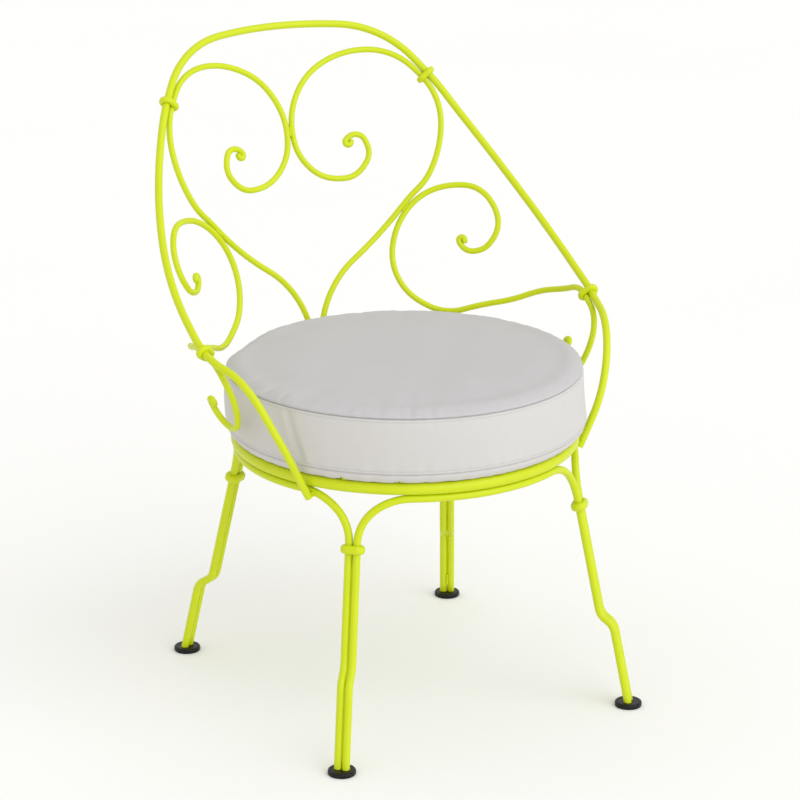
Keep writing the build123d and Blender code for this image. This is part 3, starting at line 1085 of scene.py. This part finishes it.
    def base_mesh(self) -> Mesh:
        """Closed mesh of the cover as cut, before it is stuffed."""
        size = self.quarter_cells + 1
        bottom = self.disc(self.floor)
        top = self.disc(None)
        angles = np.linspace(0, 2 * math.pi, self.segments, endpoint=False)
        rings = [ring_points(self.axis, radius, angles, height) for radius, height in self.section()[1:-1]]
        ring_start = len(bottom)
        top_start = ring_start + len(rings) * self.segments
        loops = [self.rim()]
        for k in range(len(rings)):
            first = ring_start + k * self.segments
            loops.append(list(range(first, first + self.segments)))
        loops.append([top_start + index for index in self.rim()])
        faces = []
        for i in range(size - 1):
            for j in range(size - 1):
                cell = [i * size + j, (i + 1) * size + j, (i + 1) * size + j + 1, i * size + j + 1]
                faces.append(cell[::-1])
                faces.append([top_start + index for index in cell])
        for lower, upper in zip(loops, loops[1:]):
            for k in range(self.segments):
                after = (k + 1) % self.segments
                faces.append([lower[k], lower[after], upper[after], upper[k]])
        mesh = bpy.data.meshes.new("cushion_cut")
        mesh.from_pydata(np.concatenate([bottom, *rings, top]).tolist(), [], faces)
        mesh.update()
        return mesh

    def refined(self, mesh: Mesh) -> Mesh:
        """The mesh with one level of subdivision worked in."""
        piece = new_piece("refining", mesh.copy(), [])
        finer = piece.modifiers.new("finer", "SUBSURF")
        finer.levels = 1
        finer.render_levels = 1
        made = settled(piece)
        discard(piece)
        return made

    def stuffed(self, mesh: Mesh) -> Array:
        """Points of the cover once its filling presses out, held at the seams and on the bars.

        Args:
            mesh: the cover as cut.

        Returns:
            The new points, none of them further from its start than the cap.
        """
        start = read_points(mesh)
        draws = np.random.default_rng(self.seed)
        bag = new_piece("stuffing", mesh.copy(), [])
        write_points(bag.data, start + draws.normal(0.0, self.ruck, start.shape))
        height = start[:, 2]
        radius = np.hypot(start[:, 0] - self.axis.x, start[:, 1] - self.axis.y)
        seam_gap = np.minimum(np.abs(height - self.low_seam), np.abs(height - self.high_seam))
        on_seam = (seam_gap < self.hold) & (radius > self.seam_radius - self.hold_room)
        held = on_seam | (height < self.floor + self.hold_room)
        group = bag.vertex_groups.new(name="held")
        group.add(np.flatnonzero(held).tolist(), 1.0, "REPLACE")
        cloth = bag.modifiers.new("stuffing", "CLOTH")
        rules = cloth.settings
        rules.quality = 6
        rules.mass = 0.25
        rules.tension_stiffness = 30.0
        rules.compression_stiffness = 12.0
        rules.shear_stiffness = 8.0
        rules.bending_stiffness = 4.0
        rules.use_pressure = True
        rules.uniform_pressure_force = self.pressure
        rules.shrink_min = -self.slack
        rules.vertex_group_mass = "held"
        rules.effector_weights.gravity = 0.0
        cloth.collision_settings.use_collision = False
        scene = bpy.context.scene
        for step in range(1, self.frames + 1):
            scene.frame_set(step)
        full = settled(bag)
        swollen = read_points(full)
        scene.frame_set(1)
        discard(bag)
        bpy.data.meshes.remove(full)
        move = swollen - start
        far = np.linalg.norm(move, axis=1, keepdims=True)
        LOG.info("stuffing moved the cover by up to %.1f mm", far.max() / MM)
        return start + move * self.swell_share * np.minimum(1.0, self.swell_cap / np.maximum(far, 1e-9))

    def uneven(self, angles: Array, lowest: int, highest: int, seed: int) -> Array:
        """Seeded wave round the cushion, mostly between -1 and 1.

        Args:
            angles: where it is read.
            lowest: fewest waves in a turn.
            highest: most waves in a turn.
            seed: picks one of the waves.

        Returns:
            The wave at the angles.
        """
        draws = np.random.default_rng(seed)
        total = np.zeros_like(angles)
        counts = range(lowest, highest + 1)
        for count in counts:
            total += draws.normal() * np.cos(count * angles + draws.uniform(0, 2 * math.pi))
        return total / math.sqrt(len(counts))

    def shape(self, mesh: Mesh, cut: Array) -> None:
        """Work seams, puckers, creases and sag into the stuffed cover.

        Args:
            mesh: the refined cover.
            cut: the points of the refined cover as cut.
        """
        form = self.form
        points = read_points(mesh)
        normals = read_points(mesh, "normal")
        x = cut[:, 0] - self.axis.x
        y = cut[:, 1] - self.axis.y
        radius = np.hypot(x, y)
        angles = np.arctan2(y, x)
        height = cut[:, 2]
        on_top = height > self.high_seam
        on_band = (height >= self.low_seam) & ~on_top
        below = ~on_top & ~on_band
        inset = self.seam_radius - radius
        from_high = np.where(on_top, np.hypot(inset, height - self.high_seam), self.high_seam - height)
        from_low = np.where(below, np.hypot(inset, height - self.low_seam), height - self.low_seam)
        rise = np.clip((height - self.low_seam) / (self.high_seam - self.low_seam), 0.0, 1.0)
        edge = easing((radius / self.seam_radius - form.edge_start) / (1.0 - form.edge_start))

        # Painted shadow along both seams, kept as a point attribute that darkens the cloth's colour.
        shadow = form.shadow_high.over(from_high) + form.shadow_low.over(from_low)
        mesh.attributes.new(SEAM_SHADOW, "FLOAT", "POINT").data.foreach_set("value", shadow)
        push = form.groove_high.over(from_high) + form.groove_low.over(from_low)
        dips = form.stitch_dip.over(from_high) + form.stitch_dip.over(from_low)
        push += np.where(on_band, dips, 0.0)

        waves = form.fine_share * self.uneven(angles, *form.fine_waves)
        waves += form.broad_share * self.uneven(angles, *form.broad_waves)
        lively = form.calm + sum(spot.around(angles) for spot in form.lively)
        depth = np.where(on_top, form.pucker_top, form.pucker_band)
        push += depth * self.pucker(from_high) * lively * waves
        push += form.pucker_band * self.pucker(from_low) * self.uneven(angles, *form.low_waves)

        lean = math.radians(form.crease_lean) * rise
        crease = (turn_between(angles, form.crease) + lean) * self.seam_radius
        fading = easing(np.minimum(from_high, from_low) / form.fold_fade)
        push += np.where(on_band, sum(fold.over(crease) for fold in form.folds) * fading, 0.0)
        dented = sum(dent.around(angles, self.seam_radius) for dent in form.dents)
        across, along, fine_across, fine_along = form.lump_turns
        lumpy = np.sin(x * across + form.lump_starts[0]) * np.cos(y * along + form.lump_starts[1])
        lumpy += form.lump_share * np.sin(x * fine_across - y * fine_along)
        loft = dented * form.dent_reach.over(from_high) + form.puff.over(from_high)
        loft += form.lumps * lumpy * easing(from_high / form.lump_fade)
        push += np.where(on_top, loft, 0.0)

        slanting = form.slant.around(angles)
        bow = 1.0 - (2.0 * rise - 1.0) ** 2
        swell = form.side_swell * (1.0 - form.slant_share * slanting * rise)
        swell += (form.slant_foot.over(rise) - form.slant_bow * bow) * slanting
        swell *= edge * np.where(below, easing((height - self.floor) / self.base_round), 1.0)
        swell *= 1.0 - form.rear_still.around(angles)
        out = np.stack([np.cos(angles), np.sin(angles), np.zeros_like(angles)], axis=-1)
        points += normals * push[:, None] + out * swell[:, None]
        fall = np.where(on_top, np.exp(-from_high / form.rim_reach), rise**2)
        points[:, 2] -= fall * edge * form.rim_fall.around(angles) + self.sag(x, y, height)

        middle = np.array([self.axis.x, self.axis.y])
        spread = np.linalg.norm(points[:, :2] - middle, axis=1)
        limit = self.rear_limit + form.side_room * (1.0 - form.rear_held.around(angles))
        pull = np.minimum(1.0, limit / spread.clip(1e-9))
        points[:, :2] = middle + (points[:, :2] - middle) * pull[:, None]
        write_points(mesh, points)

    def pucker(self, distance: Array) -> Array:
        """How much the cloth puckers at a distance from a seam, 1 where it is most."""
        near = distance / self.form.pucker_reach
        return near * np.exp(1.0 - near)

    def sag(self, x: Array, y: Array, height: Array) -> Array:
        """How far the bottom hangs down between the bars and onto the ring."""
        form = self.form
        bars = node_points("seat_bars")
        free = np.ones_like(x)
        for start, end in bar_spans():
            ends = bars[np.abs(bars[:, 0] - start) < self.same]
            aside = np.abs(x + self.axis.x - (start + end) / 2) - (end - start) / 2
            beyond = np.abs(y) - np.abs(ends[:, 1] - self.axis.y).max() - form.bar_end
            hanging = np.maximum(easing(aside / form.bar_fall), easing(beyond / form.end_fall))
            free = np.minimum(free, hanging)
        depth = self.floor - self.ring_top - form.ring_room
        hang = np.clip((self.low_seam - height) / self.base_round, 0.0, 1.0)
        return depth * free * easing(hang)

    def sort_panels(self, mesh: Mesh, cut: Mesh) -> None:
        """Give each face the material of its panel."""
        middles = np.empty(len(cut.polygons) * 3)
        cut.polygons.foreach_get("center", middles)
        height = middles.reshape(-1, 3)[:, 2]
        panel = np.where(height > self.high_seam, 2, np.where(height < self.low_seam, 0, 1))
        mesh.polygons.foreach_set("material_index", panel.astype(np.int32))

    def stitch_rows(self, mesh: Mesh, cut: Array) -> list[Array]:
        """Paths of the stitches beside both seams, on the band's finished surface."""
        points = read_points(mesh) + read_points(mesh, "normal") * self.stitch_lift
        radius = np.hypot(cut[:, 0] - self.axis.x, cut[:, 1] - self.axis.y)
        angles = np.arctan2(cut[:, 1] - self.axis.y, cut[:, 0] - self.axis.x)
        outside = radius > self.seam_radius - self.row_room
        offset = self.form.stitch_dip.middle
        rows = []
        for level in (self.high_seam - offset, self.low_seam + offset):
            nearest = np.abs(cut[:, 2] - level)
            chosen = np.flatnonzero(outside & (nearest < nearest[outside].min() + self.same))
            rows.append(points[chosen[np.argsort(angles[chosen])]])
        return rows


@dataclass
class Studio:
    """Pale floor, soft lights and the camera at the photo's angle."""

    azimuth: float = -29.62
    elevation: float = 17.76
    distance: float = 3.902
    aim_aside: float = -0.0007
    aim_behind: float = 0.0127
    aim_height: float = 0.3965
    lens: float = 132.8
    sensor: float = 36.0
    floor_size: float = 40.0
    sky: float = 0.88
    sky_colour: Colour = (1.0, 0.985, 0.955)
    key_azimuth: float = 18.0
    key_elevation: float = 30.0
    key_distance: float = 4.0
    key_strength: float = 1.3
    key_colour: Colour = (0.92, 0.96, 1.0)
    key_softness: float = 65.0
    finish: StudioFloor = field(default_factory=StudioFloor)

    def build(self) -> None:
        """Set up the floor, the lights and the camera."""
        bpy.context.scene.view_settings.view_transform = "Standard"
        self.lay_floor()
        self.light()
        self.aim_camera()

    def lay_floor(self) -> None:
        """Lay the floor under the glides."""
        half = self.floor_size / 2
        mesh = bpy.data.meshes.new("floor")
        corners = [(-half, -half, 0), (half, -half, 0), (half, half, 0), (-half, half, 0)]
        mesh.from_pydata(corners, [], [(0, 1, 2, 3)])
        new_piece("floor", mesh, [self.finish.material()])

    def direction(self, azimuth: float, elevation: float) -> Vector:
        """Unit vector from the chair towards a camera or a light."""
        turn = math.radians(azimuth)
        tip = math.radians(elevation)
        return Vector((math.sin(turn) * math.cos(tip), -math.cos(turn) * math.cos(tip), math.sin(tip)))

    def light(self) -> None:
        """Fill the room with even light and add a soft key from the front."""
        world = bpy.data.worlds.new("studio")
        bpy.context.scene.world = world
        world.use_nodes = True
        sky = world.node_tree.nodes["Background"]
        sky.inputs["Color"].default_value = (*self.sky_colour, 1.0)
        sky.inputs["Strength"].default_value = self.sky
        lamp = bpy.data.lights.new("key", "SUN")
        lamp.energy = self.key_strength
        lamp.color = self.key_colour
        lamp.angle = math.radians(self.key_softness)
        towards = self.direction(self.key_azimuth, self.key_elevation)
        self.stand("key", lamp, towards * self.key_distance, towards)

    def aim_camera(self) -> None:
        """Stand the camera where the photo was taken from."""
        lens = bpy.data.cameras.new("camera")
        lens.lens = self.lens
        lens.sensor_width = self.sensor
        towards = self.direction(self.azimuth, self.elevation)
        axis = centre_of("seat_ring")
        aim = Vector((axis.x + self.aim_aside, axis.y + self.aim_behind, self.aim_height))
        bpy.context.scene.camera = self.stand("camera", lens, aim + towards * self.distance, towards)

    def stand(self, name: str, data: bpy.types.ID, place: Vector, towards: Vector) -> bpy.types.Object:
        """Put a lamp or a camera in its place, with its back to a direction."""
        item = bpy.data.objects.new(name, data)
        item.location = place
        item.rotation_euler = (-towards).to_track_quat("-Z", "Y").to_euler()
        bpy.context.scene.collection.objects.link(item)
        return item


def main() -> None:
    """Build the chair's looks piece by piece."""
    logging.basicConfig(level=logging.INFO, format="%(message)s")
    Studio().build()
    coat = RodFrame().build()
    Welds(coat).build()
    BoxCushion().build()


if __name__ == "__main__":
    main()
